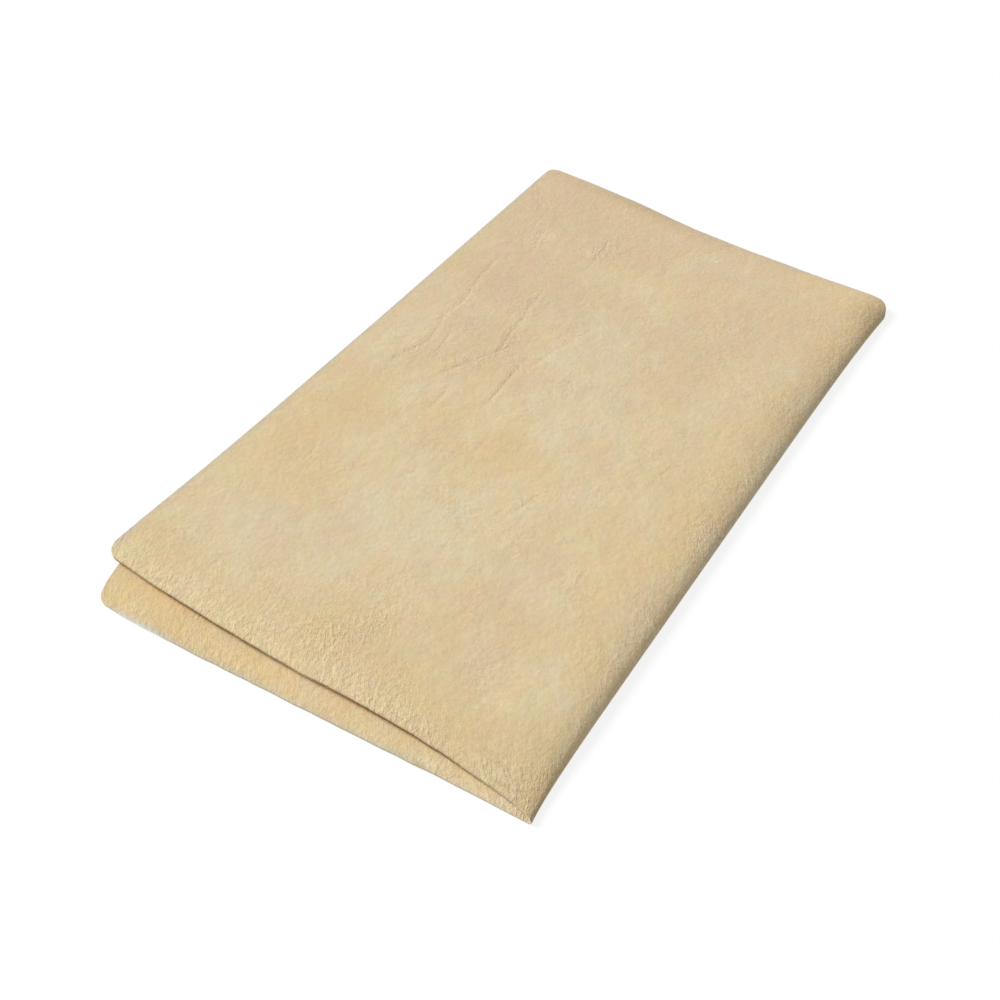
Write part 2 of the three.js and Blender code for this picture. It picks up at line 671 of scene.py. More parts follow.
class Nodes:
    """A node tree, with short ways to add to it."""

    def __init__(self, tree: bpy.types.NodeTree) -> None:
        """Takes up a tree."""
        self.tree = tree

    def fill(self, sockets: Items, values: dict[str | int, Value]) -> None:
        """Links sockets, or sets numbers and colours, on inputs.

        Args:
            sockets: The inputs.
            values: What to put there, by name or number.
        """
        for name, value in values.items():
            if isinstance(value, Socket):
                self.tree.links.new(value, sockets[name])
            else:
                sockets[name].default_value = (*value, 1.0) if isinstance(value, tuple) else value

    def add(self, kind: str, values: dict[str | int, Value], **settings: object) -> bpy.types.Node:
        """Adds a node.

        Args:
            kind: The kind of shader node.
            values: What to put on its inputs, by name or number.
            settings: Its properties, by name.

        Returns:
            The node.
        """
        node = self.tree.nodes.new(f"ShaderNode{kind}")
        for name, value in settings.items():
            setattr(node, name, value)
        self.fill(node.inputs, values)
        return node

    def attribute(self, name: str, output: str) -> Socket:
        """Reads an attribute of the hide."""
        return self.add("Attribute", {}, attribute_name=name).outputs[output]

    def noise(self, place: Socket, kind: Noise) -> Items:
        """Reads a noise texture at a place."""
        values = zip(("Vector", "Scale", "Detail", "Roughness"), (place, *kind))
        return self.add("TexNoise", dict(values)).outputs

    def swing(self, place: Socket, kind: Noise) -> Socket:
        """Reads a noise that swings about 0."""
        return self.maths("SUBTRACT", self.noise(place, kind)["Fac"], 0.5)

    def parts(self, vector: Socket) -> Items:
        """Splits a vector by its axes."""
        return self.add("SeparateXYZ", {0: vector}).outputs

    def maths(self, operation: str, *values: Socket | float) -> Socket:
        """Works out a value from sockets or numbers."""
        return self.add("Math", dict(enumerate(values)), operation=operation).outputs[0]

    def mix(self, share: Socket | float, first: Value, second: Value, blend: str = "MIX") -> Socket:
        """Mixes a share of a second colour into a first one."""
        values = {"Factor": share, "A": first, "B": second}
        return self.add("Mix", values, data_type="RGBA", blend_type=blend).outputs["Result"]

    def shown(self) -> Socket:
        """Tells the rays that show a thing itself from those that only light other things.

        Returns:
            A value of 1 for rays from the camera, in gloss or through glass, and 0 for all others.
        """
        ray = self.add("LightPath", {}).outputs
        either = self.maths("MAXIMUM", ray["Is Camera Ray"], ray["Is Glossy Ray"])
        return self.maths("MAXIMUM", either, ray["Is Transmission Ray"])


@dataclass(frozen=True)
class HideGrain:
    """The nap, pebbled grain and fine creases that every face of the hide shares.

    A noise has features per metre, finer octaves, and the share that each of them keeps. Heights
    count in grain depths. A shade is what a form adds to the colour, negative where it darkens it.
    The shade is painted shade in the crease lines, the crevices and the low parts of the grain, and
    painted light on its high parts and where the grain stands out; the specks and the mottle are the
    hide's own colour.
    """

    cells: Noise = (420.0, 1.5, 0.6)
    cell_slant: float = -0.5
    cell_squeeze: float = 0.38
    cell_height: float = 0.7
    nap: Noise = (430.0, 3.0, 0.72)
    nap_base: float = 0.6
    broad: Noise = (150.0, 1.0, 0.5)
    broad_height: float = 0.8
    crevice_edge: float = -16.0
    crevice_depth: float = 0.16
    crevice_shade: float = -0.1
    jitter: Noise = (260.0, 2.0, 0.6)
    jitter_width: float = 4.2 * MM
    line_width: float = 0.65 * MM
    line_full: float = 0.15 * MM
    line_depth: float = 0.3
    line_shade: float = -0.07
    breaks: Noise = (210.0, 2.0, 0.6)
    break_gain: float = 4.0
    break_base: float = -1.6
    speck_scale: float = 15.0
    speck_edge: float = -140.0
    speck_shade: float = -0.3
    lump_shade: float = 0.4
    pebble_shade: float = 0.045
    mottle: Noise = (85.0, 3.0, 0.65)
    mottle_gain: float = 0.16
    mottle_base: float = 0.92
    channel_shades: Colour = (0.8, 1.0, 1.3)

    def group(self) -> bpy.types.ShaderNodeTree:
        """Builds the grain.

        Returns:
            The node group, which gives a height and a shade from a place on the hide.
        """
        number, vector, colour = "NodeSocketFloat", "NodeSocketVector", "NodeSocketColor"
        inputs = {"hide": vector, "crease": vector, "pebble": number, "contrast": number}
        outputs = {"height": number, "shade": colour}
        tree = bpy.data.node_groups.new("hide_grain", "ShaderNodeTree")
        for side, sockets in (("INPUT", inputs), ("OUTPUT", outputs)):
            for name, kind in sockets.items():
                tree.interface.new_socket(name, in_out=side, socket_type=kind)
        source = tree.nodes.new("NodeGroupInput").outputs
        nodes = Nodes(tree)
        maths = nodes.maths
        hide, pebble = source["hide"], source["pebble"]

        place = nodes.parts(hide)
        slanted = maths("MULTIPLY_ADD", place["Y"], self.cell_slant, maths("ABSOLUTE", place["X"]))
        squeezed = maths("MULTIPLY", place["Y"], self.cell_squeeze)
        cells = nodes.add("CombineXYZ", {"X": slanted, "Y": squeezed}).outputs[0]
        cells = nodes.swing(cells, self.cells)
        crevice = maths("MULTIPLY_ADD", maths("ABSOLUTE", cells), self.crevice_edge, 1.0)
        crevice = maths("MULTIPLY", maths("MAXIMUM", crevice, 0.0), pebble)
        nap = nodes.swing(hide, self.nap)
        lumps = maths("MULTIPLY", nap, maths("ADD", pebble, self.nap_base))
        lumps = maths("MULTIPLY_ADD", maths("MULTIPLY", cells, pebble), self.cell_height, lumps)

        beside = nodes.parts(source["crease"])
        jitter = nodes.swing(hide, self.jitter)
        aside = maths("MULTIPLY_ADD", jitter, self.jitter_width, beside["X"])
        aside = maths("DIVIDE", aside, self.line_width)
        line = maths("EXPONENT", maths("MULTIPLY", maths("MULTIPLY", aside, aside), -1.0))
        breaks = nodes.noise(source["crease"], self.breaks)["Fac"]
        breaks = maths("MULTIPLY_ADD", breaks, self.break_gain, self.break_base)
        line = maths("MULTIPLY", line, maths("MAXIMUM", breaks, 0.0))
        line = maths("MULTIPLY", line, maths("DIVIDE", beside["Z"], self.line_full))

        deep = maths("MULTIPLY", line, self.line_depth)
        deep = maths("MULTIPLY_ADD", crevice, self.crevice_depth, deep)
        height = maths("MULTIPLY_ADD", nodes.swing(hide, self.broad), self.broad_height, lumps)
        height = maths("SUBTRACT", height, deep)

        dots = {"Vector": hide, "Scale": self.speck_scale}
        dots = nodes.add("TexVoronoi", dots, voronoi_dimensions="2D").outputs["Distance"]
        speck = maths("MAXIMUM", maths("MULTIPLY_ADD", dots, self.speck_edge, 1.0), 0.0)
        # Painted shade and light that follow the grain's relief, with the hide's own dark specks.
        grain_shade_and_specks = maths("MULTIPLY", lumps, self.lump_shade)
        grain_shade_and_specks = maths("MULTIPLY_ADD", line, self.line_shade, grain_shade_and_specks)
        grain_shade_and_specks = maths("MULTIPLY_ADD", pebble, self.pebble_shade, grain_shade_and_specks)
        grain_shade_and_specks = maths("MULTIPLY_ADD", crevice, self.crevice_shade, grain_shade_and_specks)
        grain_shade_and_specks = maths("MULTIPLY_ADD", speck, self.speck_shade, grain_shade_and_specks)
        grain_shade_and_specks = maths("MULTIPLY", grain_shade_and_specks, source["contrast"])
        mottle = nodes.add("SeparateColor", {0: nodes.noise(hide, self.mottle)["Color"]}).outputs
        tones = {}
        for channel, shade in zip(("Red", "Green", "Blue"), self.channel_shades):
            tint = maths("MULTIPLY_ADD", mottle[channel], self.mottle_gain, self.mottle_base)
            tones[channel] = maths("MULTIPLY_ADD", grain_shade_and_specks, shade, tint)
        shade = nodes.add("CombineColor", tones).outputs["Color"]
        nodes.fill(tree.nodes.new("NodeGroupOutput").inputs, {"height": height, "shade": shade})
        return tree


@dataclass(frozen=True)
class Finish:
    """A leather finish: its colours, among them those of its painted light and painted shade, its grain
    and sheen.
    """

    name: str
    base: Colour
    bloom_and_painted_light: Colour
    ochre: Colour
    blush_and_painted_shade: Colour
    painted_front_light: Colour
    grey_edge: Colour
    painted_shade: Colour
    bare_and_painted_light: Colour
    grain_shade: float
    grain_depth: float
    roughness: float
    sheen: float
    specular: float = 0.25
    sheen_roughness: float = 0.5
    sheen_tint: Colour = (1.0, 0.95, 0.86)

    def material(self, grain_tree: bpy.types.ShaderNodeTree) -> bpy.types.Material:
        """Builds the finish as a node material.

        Args:
            grain_tree: The node group of the grain.

        Returns:
            The material.
        """
        material = bpy.data.materials.new(self.name)
        material.use_nodes = True
        nodes = Nodes(material.node_tree)
        inputs = {
            "hide": nodes.attribute("hide", "Vector"),
            "crease": nodes.attribute("crease", "Vector"),
            "pebble": nodes.attribute("pebble", "Fac"),
            "contrast": self.grain_shade,
        }
        grain = nodes.add("Group", {}, node_tree=grain_tree)
        nodes.fill(grain.inputs, inputs)
        # The tints, painted light and painted shade among them, are mixed into the base colour.
        colour = self.base
        for name in TINTS:
            colour = nodes.mix(nodes.attribute(name, "Fac"), colour, getattr(self, name))
        bump = {"Strength": 1.0, "Distance": self.grain_depth, "Height": grain.outputs["height"]}
        values = {
            "Base Color": nodes.mix(1.0, colour, grain.outputs["shade"], blend="MULTIPLY"),
            "Normal": nodes.add("Bump", bump).outputs["Normal"],
            "Roughness": self.roughness,
            "Specular IOR Level": self.specular,
            "Sheen Weight": self.sheen,
            "Sheen Roughness": self.sheen_roughness,
            "Sheen Tint": self.sheen_tint,
        }
        nodes.fill(nodes.tree.nodes["Principled BSDF"].inputs, values)
        return material


@dataclass(frozen=True)
class Leather:
    """The finishes of the hide's three faces, and the grain that they share."""

    outer: Finish
    inner: Finish
    cut: Finish
    grain: HideGrain = HideGrain()

    def materials(self) -> list[bpy.types.Material]:
        """Builds the materials.

        Returns:
            The materials in the order of the sides.
        """
        grain_tree = self.grain.group()
        finishes = {Side.OUTER: self.outer, Side.INNER: self.inner, Side.CUT: self.cut}
        return [finishes[side].material(grain_tree) for side in Side]


@dataclass(frozen=True)
class Cells(Spots):
    """The hide laid out flat: what is known at each row and column of its grid."""

    points: Array
    thin: Array

    @classmethod
    def joined(cls, lower: Cells, upper: Cells) -> Cells:
        """Joins two halves that share their crest column, the lower one first.

        Args:
            lower: The lower half, from the crest to its open edge.
            upper: The upper half, from the crest to its open edge.

        Returns:
            The whole hide, with arcs below the crest counted as negative.
        """
        lower = replace(lower, arc=-lower.arc)
        both = [(getattr(lower, entry.name), getattr(upper, entry.name)) for entry in fields(cls)]
        return cls(*(np.concatenate((below[:, :0:-1], above), axis=1) for below, above in both))

    def picked(self, row: Array, column: Array) -> Cells:
        """Picks cells by their rows and columns."""
        return Cells(*(getattr(self, entry.name)[row, column] for entry in fields(self)))


@dataclass(frozen=True)
class Hide:
    """The folded hide: one sheet of leather in two halves.

    A span is where a form sets in or fades, by the distance from the crest.
    """

    place: FoldPlace
    profile: FoldProfile
    lower_cut: LeafCut
    upper_cut: LeafCut
    relief: HideRelief
    pebbling: Pebbling
    clouds: HideClouds
    leather: Leather
    thickness: float = 1.5 * MM
    row_cell: float = 2.9 * MM
    edge_cell: float = 0.9 * MM
    bend_cell: float = 0.4 * MM
    cell_growth: float = 1.07
    corner_cells: int = 8
    cut_round: float = 0.45 * MM
    cut_segments: int = 3
    cut_angle: float = math.radians(50.0)
    stretch_span: Pair = mm(25, 60)
    pinch_near: float = 0.62
    pinch_far: float = 0.85
    pinch_length: float = 60.0 * MM
    pinch_span: Pair = mm(6, 40)
    pinch_span_upper: Pair = mm(6, 140)
    pinch_thickness: float = 0.6
    thin_span: Pair = mm(3, 14)
    front_heights: Knots = knots(
        (0, 1.9), (3, 2.6), (6, 3.05), (10, 3.4), (22, 3.9), (50, 4.2), (90, 4.8), (150, 4.9), (250, 4.7)
    )
    front_span: Pair = mm(2.5, 8)
    front_reach: float = 45.0 * MM
    nose_reach: float = 22.0 * MM
    nose_span: Pair = mm(10, 50)
    flare_near: float = 2.0 * MM
    flare_near_length: float = 14.0 * MM
    flare_far: float = 4.3 * MM
    flare_far_length: float = 40.0 * MM
    flare_span: Pair = mm(2, 40)
    lower_turn: Pair = (-0.15 * MM, 0.33 * MM)
    upper_turn: Pair = (1.93 * MM, 3.75 * MM)
    flat_size: Pair = (0.25, 0.4)

    def stations(self, cut: LeafCut) -> Array:
        """Places the columns of cells: fine at the bend, even over the leaf, close at the corners.

        Args:
            cut: The outline of the half.

        Returns:
            Distances from the crest, from 0 to the open edge.
        """
        radius = max(cut.corner_front, cut.corner_far)
        columns = [0.0]
        step = self.bend_cell
        while columns[-1] + step < cut.reach - radius - 0.5 * cut.cell:
            columns.append(columns[-1] + step)
            step = min(cut.cell, step * self.cell_growth)
        turns = np.linspace(0.0, math.pi / 2.0, self.corner_cells + 1)
        return np.concatenate((columns, cut.reach - radius * (1.0 - np.sin(turns))))

    def rows(self) -> Array:
        """Places the rows of cells: fine at the front and far edges, wider between them.

        Returns:
            Shares of the way from the front edge to the far edge.
        """
        half = [0.0]
        step = self.edge_cell
        while half[-1] + step < self.place.length / 2.0:
            half.append(half[-1] + step)
            step = min(self.row_cell, step * self.cell_growth)
        near = np.array(half) / (2.0 * half[-1])
        return np.concatenate((near, 1.0 - near[-2::-1]))

    def pressing(self, along: Array) -> Array:
        """Reads how far the ends of the fold are pressed down.

        Args:
            along: Places along the fold.

        Returns:
            The share of the fold's height that is lost at each place.
        """
        length = self.place.length
        near = (1.0 - self.pinch_near) * (1.0 - smooth_step(along, (0.0, self.pinch_length)))
        far = (1.0 - self.pinch_far) * smooth_step(along, (length - self.pinch_length, length))
        return near + far

    def flare(self, along: Array) -> Array:
        """Reads how far the crest stands out at the ends of the fold."""
        near = self.flare_near * fade(np.abs(along), self.flare_near_length)
        return near + self.flare_far * fade(np.abs(self.place.length - along), self.flare_far_length)

    def half_cells(self, half: Half, share: Array) -> Cells:
        """Places the outer face of one half.

        Args:
            half: Which half.
            share: Shares of the way from the front edge to the far edge, one per row.

        Returns:
            The cells of the half, from the crest to the open edge.
        """
        upper = half is Half.UPPER
        cut = self.upper_cut if upper else self.lower_cut
        arc = self.stations(cut)
        front_edge = cut.edge(cut.front, arc, cut.front_seed)
        far_edge = cut.edge(cut.far, arc, cut.far_seed)
        front = front_edge + cut.inset(cut.corner_front, arc)
        far = far_edge - cut.inset(cut.corner_far, arc)
        along = front + (far - front) * share[:, None]
        from_edge = np.minimum(far - along, cut.reach - arc)
        if not upper:
            from_edge = np.minimum(from_edge, along - front)
        arcs = np.broadcast_to(arc, along.shape)
        spots = Spots(arcs, along, along - front_edge, far_edge - along, from_edge)

        back, height, tilt = (self.profile.above if upper else self.profile.below)(arc)
        stretch = smooth_curve(cut.open, along) / back[-1] - 1.0
        back = back * (1.0 + stretch * smooth_step(back, self.stretch_span))
        pressed = self.pressing(along)
        sunken = pressed * (1.0 - smooth_step(back, self.pinch_span_upper if upper else self.pinch_span))
        height = height * (1.0 - sunken)
        back = back * (1.0 - pressed * (1.0 - smooth_step(back, self.pinch_span)))
        if upper:
            widen = smooth_step(arc, self.nose_span)
            reach = self.nose_reach + (self.front_reach - self.nose_reach) * widen
            settled = 1.0 - smooth_step(spots.from_front / reach, (0.0, 1.0))
            settled = settled * smooth_step(arc, self.front_span)
            height = height + (smooth_curve(self.front_heights, arc) - height) * settled
            relief = self.relief.upper(spots)
            back = back - np.cos(tilt) * relief
            height = height + np.sin(tilt) * relief
        else:
            height = height + self.relief.lower(spots)
        back = back - self.flare(along) * (1.0 - smooth_step(back, self.flare_span))
        points = np.stack((self.place.crest_x - back, self.place.near_y + along, height), axis=-1)
        thin = (1.0 - smooth_step(arc, self.thin_span)) * pressed / (1.0 - self.pinch_near)
        return Cells(**vars(spots), points=points, thin=thin)

    def build(self) -> dict[Half, bpy.types.Object]:
        """Models the hide and parts it at the crest.

        Returns:
            The two halves.
        """
        share = self.rows()
        lower = self.half_cells(Half.LOWER, share)
        upper = self.half_cells(Half.UPPER, share)
        sheet = self.lay(Cells.joined(lower, upper))
        for material in self.leather.materials():
            sheet.data.materials.append(material)
        self.thicken(sheet)
        return self.part(sheet)

    def lay(self, cells: Cells) -> bpy.types.Object:
        """Lays the folded outer face out as a grid, and notes each vertex's place on the flat hide.

        Args:
            cells: The cells of the whole hide.

        Returns:
            The sheet, whose faces look outwards.
        """
        rows, columns = cells.arc.shape[0] - 1, cells.arc.shape[1] - 1
        bpy.ops.object.select_all(action="DESELECT")
        bpy.ops.mesh.primitive_grid_add(x_subdivisions=columns, y_subdivisions=rows, size=1.0)
        sheet = bpy.context.object
        mesh = sheet.data
        plain = read_vectors(mesh.vertices, "co") + 0.5
        column = np.rint(plain[:, 0] * columns).astype(int)
        row = rows - np.rint(plain[:, 1] * rows).astype(int)
        spots = cells.picked(row, column)
        mesh.vertices.foreach_set("co", spots.points.ravel())
        crease = self.relief.nearest_crease(spots)
        note(mesh, "hide", np.stack((spots.arc, spots.along, np.zeros_like(spots.arc)), axis=-1))
        note(mesh, "crease", crease)
        for name, amount in self.clouds.amounts(spots).items():
            note(mesh, name, amount)
        note(mesh, "pebble", self.pebbling.amount(spots, crease))
        full = sheet.vertex_groups.new(name="full")
        for index, thin in enumerate(spots.thin):
            full.add([index], 1.0 - float(thin), "REPLACE")
        bpy.ops.object.shade_smooth()
        mesh.update()
        return sheet

    def thicken(self, sheet: bpy.types.Object) -> None:
        """Gives the sheet its thickness and rounds its cut edge.

        Args:
            sheet: The sheet, which is the outer face.
        """
        solid = sheet.modifiers.new("thickness", "SOLIDIFY")
        solid.thickness = self.thickness
        solid.offset = -1.0
        solid.vertex_group = "full"
        solid.thickness_vertex_group = self.pinch_thickness
        solid.use_even_offset = True
        solid.use_quality_normals = True
        solid.material_offset = Side.INNER
        solid.material_offset_rim = Side.CUT
        bpy.ops.object.modifier_apply(modifier=solid.name)
        bevel = sheet.modifiers.new("cut", "BEVEL")
        bevel.width = self.cut_round
        bevel.segments = self.cut_segments
        bevel.limit_method = "ANGLE"
        bevel.angle_limit = self.cut_angle
        bpy.ops.object.modifier_apply(modifier=bevel.name)

    def part(self, sheet: bpy.types.Object) -> dict[Half, bpy.types.Object]:
        """Parts the sheet at the crest, closes both halves there and keeps their shading alike.

        Args:
            sheet: The whole thick sheet.

        Returns:
            The two halves.
        """
        mesh = sheet.data
        note(mesh, "rest_normal", read_vectors(mesh.vertex_normals, "vector"))
        arc = read_vectors(mesh.attributes["hide"].data, "vector")[:, 0]
        below = [float(arc[list(face.vertices)].mean()) < 0.0 for face in mesh.polygons]
        choose(mesh, below)
        bpy.ops.mesh.separate(type="SELECTED")
        bpy.ops.object.mode_set(mode="OBJECT")
        other = next(item for item in bpy.context.selected_objects if item is not sheet)
        halves = {Half.UPPER: sheet, Half.LOWER: other}
        for half, piece in halves.items():
            piece.name = piece.data.name = half.value
            self.close(piece)
        return halves

    def close(self, piece: bpy.types.Object) -> None:
        """Closes a half where it was parted and gives it the shading of the whole sheet.

        Args:
            piece: The half.
        """
        bpy.ops.object.select_all(action="DESELECT")
        piece.select_set(True)
        bpy.context.view_layer.objects.active = piece
        mesh = piece.data
        skin = len(mesh.polygons)
        bpy.ops.object.mode_set(mode="EDIT")
        bpy.ops.mesh.select_all(action="SELECT")
        bpy.ops.mesh.fill_holes(sides=0)
        bpy.ops.object.mode_set(mode="OBJECT")
        choose(mesh, [face.index >= skin for face in mesh.polygons])
        bpy.ops.mesh.quads_convert_to_tris(ngon_method="BEAUTY")
        bpy.ops.mesh.select_all(action="SELECT")
        bpy.ops.mesh.normals_make_consistent(inside=False)
        bpy.ops.object.mode_set(mode="OBJECT")
        kept = read_vectors(mesh.attributes["rest_normal"].data, "vector")
        shading = np.empty((len(mesh.loops), 3))
        for face in mesh.polygons:
            corners = list(face.vertices)
            shading[list(face.loop_indices)] = kept[corners] if face.index < skin else face.normal
        mesh.normals_split_custom_set(shading.tolist())
        mesh.attributes.remove(mesh.attributes["rest_normal"])

    def declare(self, halves: dict[Half, bpy.types.Object]) -> None:
        """Sets each half's placement into its mesh and hides the imported solids.

        Args:
            halves: The two halves.
        """
        lower, upper = halves[Half.LOWER], halves[Half.UPPER]
        foot = np.array((self.place.crest_x, 0.0, 0.0))
        out_and_up, back_and_up = np.array((1.0, 0.0, 1.0)), np.array((-1.0, 0.0, 1.0))
        start, end = (tuple(foot + share * out_and_up) for share in self.lower_turn)
        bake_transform(lower)
        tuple(start)
        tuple(end)
        start, end = (tuple(foot + share * back_and_up) for share in self.upper_turn)
        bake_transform(upper)
        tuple(start)
        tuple(end)
        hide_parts("lower_leaf")
        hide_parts("fold_spine", "upper_leaf")


@dataclass(frozen=True)
class Studio:
    """A plain pale floor, soft light from the left, and the camera. Angles are degrees."""

    place: FoldPlace
    floor_size: float = 12.0
    floor_drop: float = 0.05 * MM
    floor_colour: Colour = (0.88, 0.88, 0.88)
    shadow_colour: Colour = (0.2, 0.2, 0.2)
    floor_glow: float = 0.82
    sky: float = 0.395
    sky_colour: Colour = (1.0, 1.0, 1.0)
    key: float = 0.59
    key_pitch: float = 32.0
    key_bearing: float = 5.0
    key_softness: float = 25.0
    key_place: tuple[float, float, float] = (-1.0, 0.0, 1.0)
    eye_past_crest: float = 96.7 * MM
    eye_before_fold: float = 162.0 * MM
    eye_height: float = 439.0 * MM
    eye_pitch: float = 50.5
    eye_bearing: float = 124.4
    lens: float = 39.6
    clip_start: float = 10.0 * MM

    def floor(self) -> None:
        """Lays the floor, white to the camera apart from the hide's shadow."""
        bpy.ops.object.select_all(action="DESELECT")
        bpy.ops.mesh.primitive_plane_add(size=self.floor_size, location=(0.0, 0.0, -self.floor_drop))
        floor = bpy.context.object
        floor.name = "floor"
        material = bpy.data.materials.new("floor")
        material.use_nodes = True
        nodes = Nodes(material.node_tree)
        nodes.tree.nodes.clear()
        seen = nodes.shown()
        paint = nodes.mix(seen, self.floor_colour, self.shadow_colour)
        matt = nodes.add("BsdfDiffuse", {"Color": paint}).outputs[0]
        strength = nodes.maths("MULTIPLY", seen, self.floor_glow)
        glow = nodes.add("Emission", {"Strength": strength}).outputs[0]
        both = nodes.add("AddShader", {0: matt, 1: glow}).outputs[0]
        nodes.add("OutputMaterial", {"Surface": both})
        floor.data.materials.append(material)
        floor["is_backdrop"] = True

    def light(self) -> None:
        """Lights the stage with a white sky and one soft lamp."""
        world = bpy.context.scene.world or bpy.data.worlds.new("sky")
        bpy.context.scene.world = world
        world.use_nodes = True
        nodes = Nodes(world.node_tree)
        strength = nodes.maths("MULTIPLY_ADD", nodes.shown(), 1.0 - self.sky, self.sky)
        sky = nodes.tree.nodes["Background"].inputs
        nodes.fill(sky, {"Color": self.sky_colour, "Strength": strength})
        bpy.ops.object.light_add(type="SUN", location=self.key_place)
        lamp = bpy.context.object
        lamp.name = "key"
        lamp.data.energy = self.key * math.pi / math.sin(math.radians(self.key_pitch))
        lamp.data.angle = math.radians(self.key_softness)
        ray = downward(self.key_pitch, self.key_bearing)
        lamp.rotation_euler = ray.to_track_quat("-Z", "Y").to_euler()

    def camera(self) -> None:
        """Puts the camera at the photograph's place."""
        eye = (
            self.place.crest_x + self.eye_past_crest,
            self.place.near_y - self.eye_before_fold,
            self.eye_height,
        )
        look = downward(self.eye_pitch, self.eye_bearing)
        bpy.ops.object.camera_add(location=eye, rotation=look.to_track_quat("-Z", "Y").to_euler())
        camera = bpy.context.object
        camera.data.lens = self.lens
        camera.data.clip_start = self.clip_start
        bpy.context.scene.camera = camera
        bpy.context.scene.view_settings.view_transform = "Standard"

    def build(self) -> None:
        """Builds the floor, the light and the camera."""
        self.floor()
        self.light()
        self.camera()


LOWER_CUT = LeafCut(
    open=knots((-26, 231.2), (-20, 233.4), (-14, 236), (-9, 237.4), (-4, 238.7), (20, 240), (400, 240.4)),
    corner_front=6.0 * MM,
    corner_far=8.0 * MM,
    front=knots((0, -0.7), (6, -1.1), (60, -7.4), (140, -16.2), (190, -21.5), (215, -23.9), (240, -25)),
    far=knots((0, 379.5), (2.5, 383), (5, 386.4), (9, 389.5), (14, 391.6), (60, 393), (241, 394)),
    cell=2.2 * MM,
)

UPPER_FOLD_END = (0, 379.5), (2.5, 382.9), (5.5, 387), (8, 389.2), (11, 390.7)
UPPER_CUT = LeafCut(
    open=knots((-5, 248.4), (7, 248.3), (80, 245.8), (164, 244.3), (300, 243.3), (400, 243)),
    corner_front=9.0 * MM,
    corner_far=8.0 * MM,
    front=knots(
        (0, -0.7), (9, 0.8), (25, 2.2), (60, 2.9), (95, 1.2), (130, -1.7), (195, -4.2), (250, -4)
    ),
    far=knots(*UPPER_FOLD_END, (16, 391.2), (60, 391), (130, 390.5), (185, 396.2), (250, 398.8)),
    cell=1.25 * MM,
)

RELIEF = HideRelief(
    creases=creases(
        (154, 182, 155, 228, 0.2),
        (220, 178, 212, 212, 0.13),
        (212, 206, 216, 240, 0.16),
        (215, 236, 223, 296, 0.13),
        (190, 186, 178, 214, 0.15),
        (181, 210, 163, 238, 0.15),
        (171, 222, 177, 250, 0.16),
        (177, 246, 180, 284, 0.13),
        (152, 218, 136, 276, 0.09),
        (177, 162, 177, 186, 0.12),
        (198, 196, 206, 228, 0.1),
        (98, 128, 88, 154, 0.14),
        (160, 113, 154, 127, 0.1),
        (173, 352, 169, 316, 0.12),
        (216, 342, 208, 308, 0.11),
        (130, 346, 124, 330, 0.09),
        (48, 178, 45, 206, 0.07),
    ),
    raised=patches((212, -23, 15, 30, 1.0 * MM)),
)

PEBBLING = Pebbling(
    rough=patches(
        (124, 23, 16, 12, 0.9), (113, 40, 8, 10, 0.9), (215, 322, 16, 16, 0.35), (172, 332, 12, 14, 0.35)
    ),
)

CLOUDS = HideClouds(
    bloom_and_painted_light=patches(
        (104, 360, 22, 26, 0.6),
        (112, 282, 22, 26, 0.6),
        (124, 212, 22, 22, 0.85),
        (80, 104, 22, 18, 0.6),
        (118, 102, 24, 18, 0.75),
        (158, 84, 22, 17, 0.8),
        (192, 58, 20, 15, 0.6),
        (220, 36, 20, 14, 0.7),
        # Painted light on the slope of the fold.
        (26, 98, 13, 22, 0.7),
        (-16, -2, 20, 16, 1.5),
    ),
    ochre=patches(
        (225, 135, 24, 32, 0.7),
        (140, 158, 50, 13, 0.8),
        (28, 120, 16, 60, 0.35),
        (80, 20, 70, 18, 0.9),
        (150, 390, 90, 8, 0.6),
        (12, 374, 14, 20, 1.0),
        (16, 200, 12, 400, 0.35),
        (185, 8, 70, 14, 0.6),
        (-215, -12, 45, 25, 0.8),
    ),
    blush_and_painted_shade=patches(
        (215, 352, 36, 36, 0.8),
        (195, 280, 44, 36, 0.65),
        (185, 225, 36, 24, 0.45),
        (55, 300, 40, 60, 0.4),
        (150, 345, 36, 30, 0.5),
        # This patch and the next are painted shade: darker over the far half, and along the far edge.
        (120, 320, 300, 100, 0.25),
        (120, 398, 400, 16, 1.2),
    ),
    # Painted light on the crest of the fold.
    pale=patches((2, 235, 5, 75, 0.9), (10, 331, 9, 14, 0.9)),
    # How dark the painted shade line along the upper leaf's front edge is, from place to place.
    painted_shade=patches((172, 0, 32, 60, 0.5), (126, 0, 13, 60, -0.6), (70, 0, 34, 60, 0.4)),
    # Painted shade on the fold's nose near both ends and along it, and along the far edge.
    stain=patches(
        (178, 393, 42, 7, 0.33),
        (110, 391, 60, 4, 0.15),
        (10, 377, 8, 14, 0.4),
        (5, 368, 5, 16, 0.3),
        (14, 262, 9, 50, 0.25),
        (14, 17, 16, 19, 0.25),
        (4, 7, 4, 8, 0.45),
        (2, -1, 7, 4, 0.2),
    ),
    # A whitish cut at the lower leaf's front corner, and painted light on the cut faces at the tip of the
    # fold.
    bare_and_painted_light=patches((210, -24, 16, 8, 1.2), (5, 0, 12, 12, 0.3)),
)

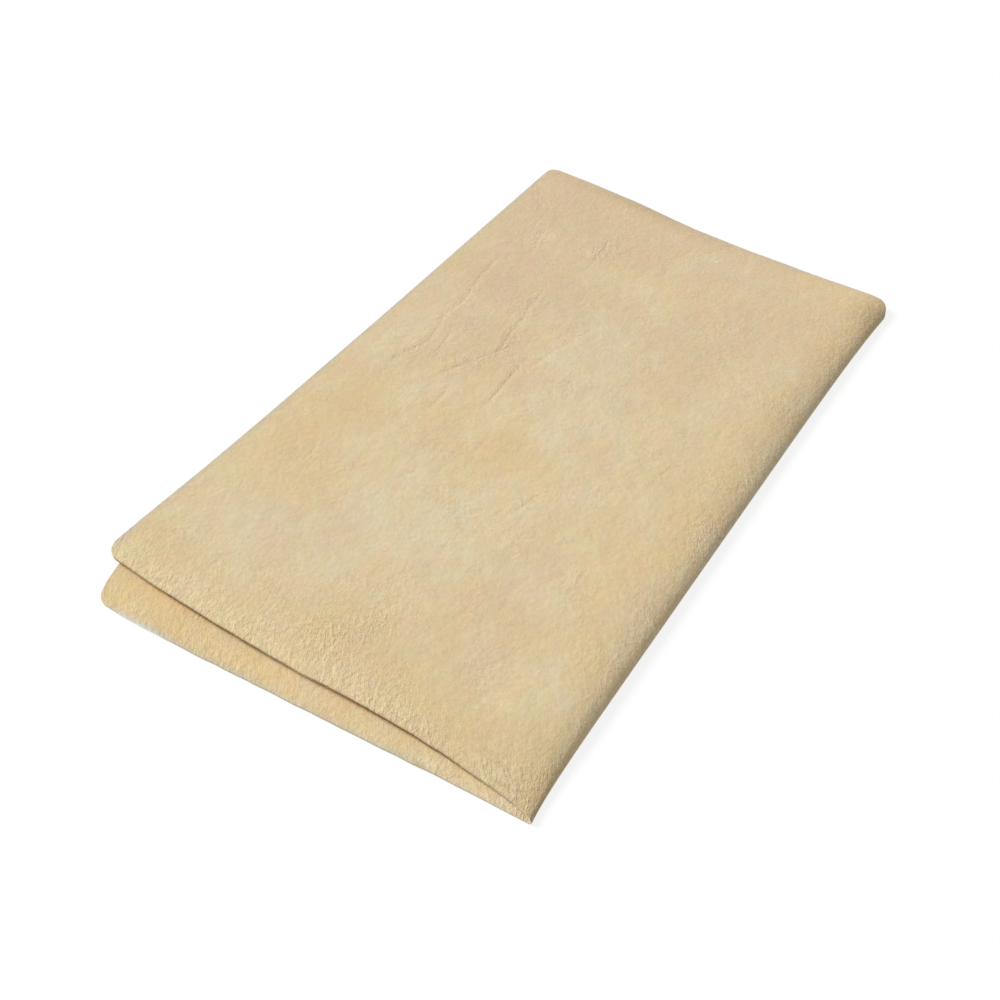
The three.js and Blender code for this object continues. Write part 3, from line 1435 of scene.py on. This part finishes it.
LEATHER = Leather(
    outer=Finish(
        name="outer_suede",
        base=(0.705, 0.565, 0.343),
        bloom_and_painted_light=(0.708, 0.61, 0.422),
        ochre=(0.71, 0.53, 0.275),
        blush_and_painted_shade=(0.65, 0.493, 0.31),
        # Lighter colour of the painted light along the front edge.
        painted_front_light=(0.755, 0.60, 0.35),
        # Greyer colour of the band along the open and far edges.
        grey_edge=(0.60, 0.52, 0.385),
        # Darker brown of the painted shade.
        painted_shade=(0.46, 0.34, 0.18),
        bare_and_painted_light=(0.66, 0.61, 0.48),
        grain_shade=1.0,
        grain_depth=0.48 * MM,
        roughness=0.9,
        sheen=0.12,
    ),
    inner=Finish(
        name="inner_face",
        base=(0.76, 0.575, 0.31),
        bloom_and_painted_light=(0.72, 0.635, 0.455),
        ochre=(0.745, 0.54, 0.265),
        blush_and_painted_shade=(0.74, 0.535, 0.31),
        painted_front_light=(0.76, 0.575, 0.31),
        grey_edge=(0.635, 0.53, 0.355),
        painted_shade=(0.76, 0.575, 0.31),
        bare_and_painted_light=(0.70, 0.63, 0.48),
        grain_shade=1.0,
        grain_depth=0.48 * MM,
        roughness=0.85,
        sheen=0.1,
    ),
    cut=Finish(
        name="cut_edge",
        base=(0.72, 0.63, 0.46),
        bloom_and_painted_light=(0.76, 0.69, 0.53),
        ochre=(0.70, 0.58, 0.38),
        blush_and_painted_shade=(0.70, 0.59, 0.43),
        painted_front_light=(0.72, 0.63, 0.46),
        grey_edge=(0.66, 0.59, 0.45),
        # Dark brown of the painted shade line, on the cut face of the upper leaf's front edge over the
        # shaded gap.
        painted_shade=(0.27, 0.155, 0.06),
        # Whitish colour of the cut, also used for painted light on the cut faces at the tip of the fold.
        bare_and_painted_light=(0.93, 0.91, 0.87),
        grain_shade=0.8,
        grain_depth=0.15 * MM,
        roughness=0.95,
        sheen=0.15,
    ),
)


def chamois(place: FoldPlace) -> Hide:
    """Gathers the sizes of the folded hide."""
    return Hide(place, FoldProfile(), LOWER_CUT, UPPER_CUT, RELIEF, PEBBLING, CLOUDS, LEATHER)


def main() -> None:
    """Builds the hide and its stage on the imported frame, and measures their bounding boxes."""
    logging.basicConfig(level=logging.INFO, format="%(message)s")
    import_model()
    solid_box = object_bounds()
    place = FoldPlace.from_solids()
    hide = chamois(place)
    halves = hide.build()
    hide.declare(halves)
    for piece in halves.values():
        LOG.info("%s: %d faces", piece.name, len(piece.data.polygons))
    Studio(place).build()
    boxes = {"cad": solid_box, "visual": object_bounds()}
    plain = {name: [list(corner) for corner in box] for name, box in boxes.items()}


if __name__ == "__main__":
    main()
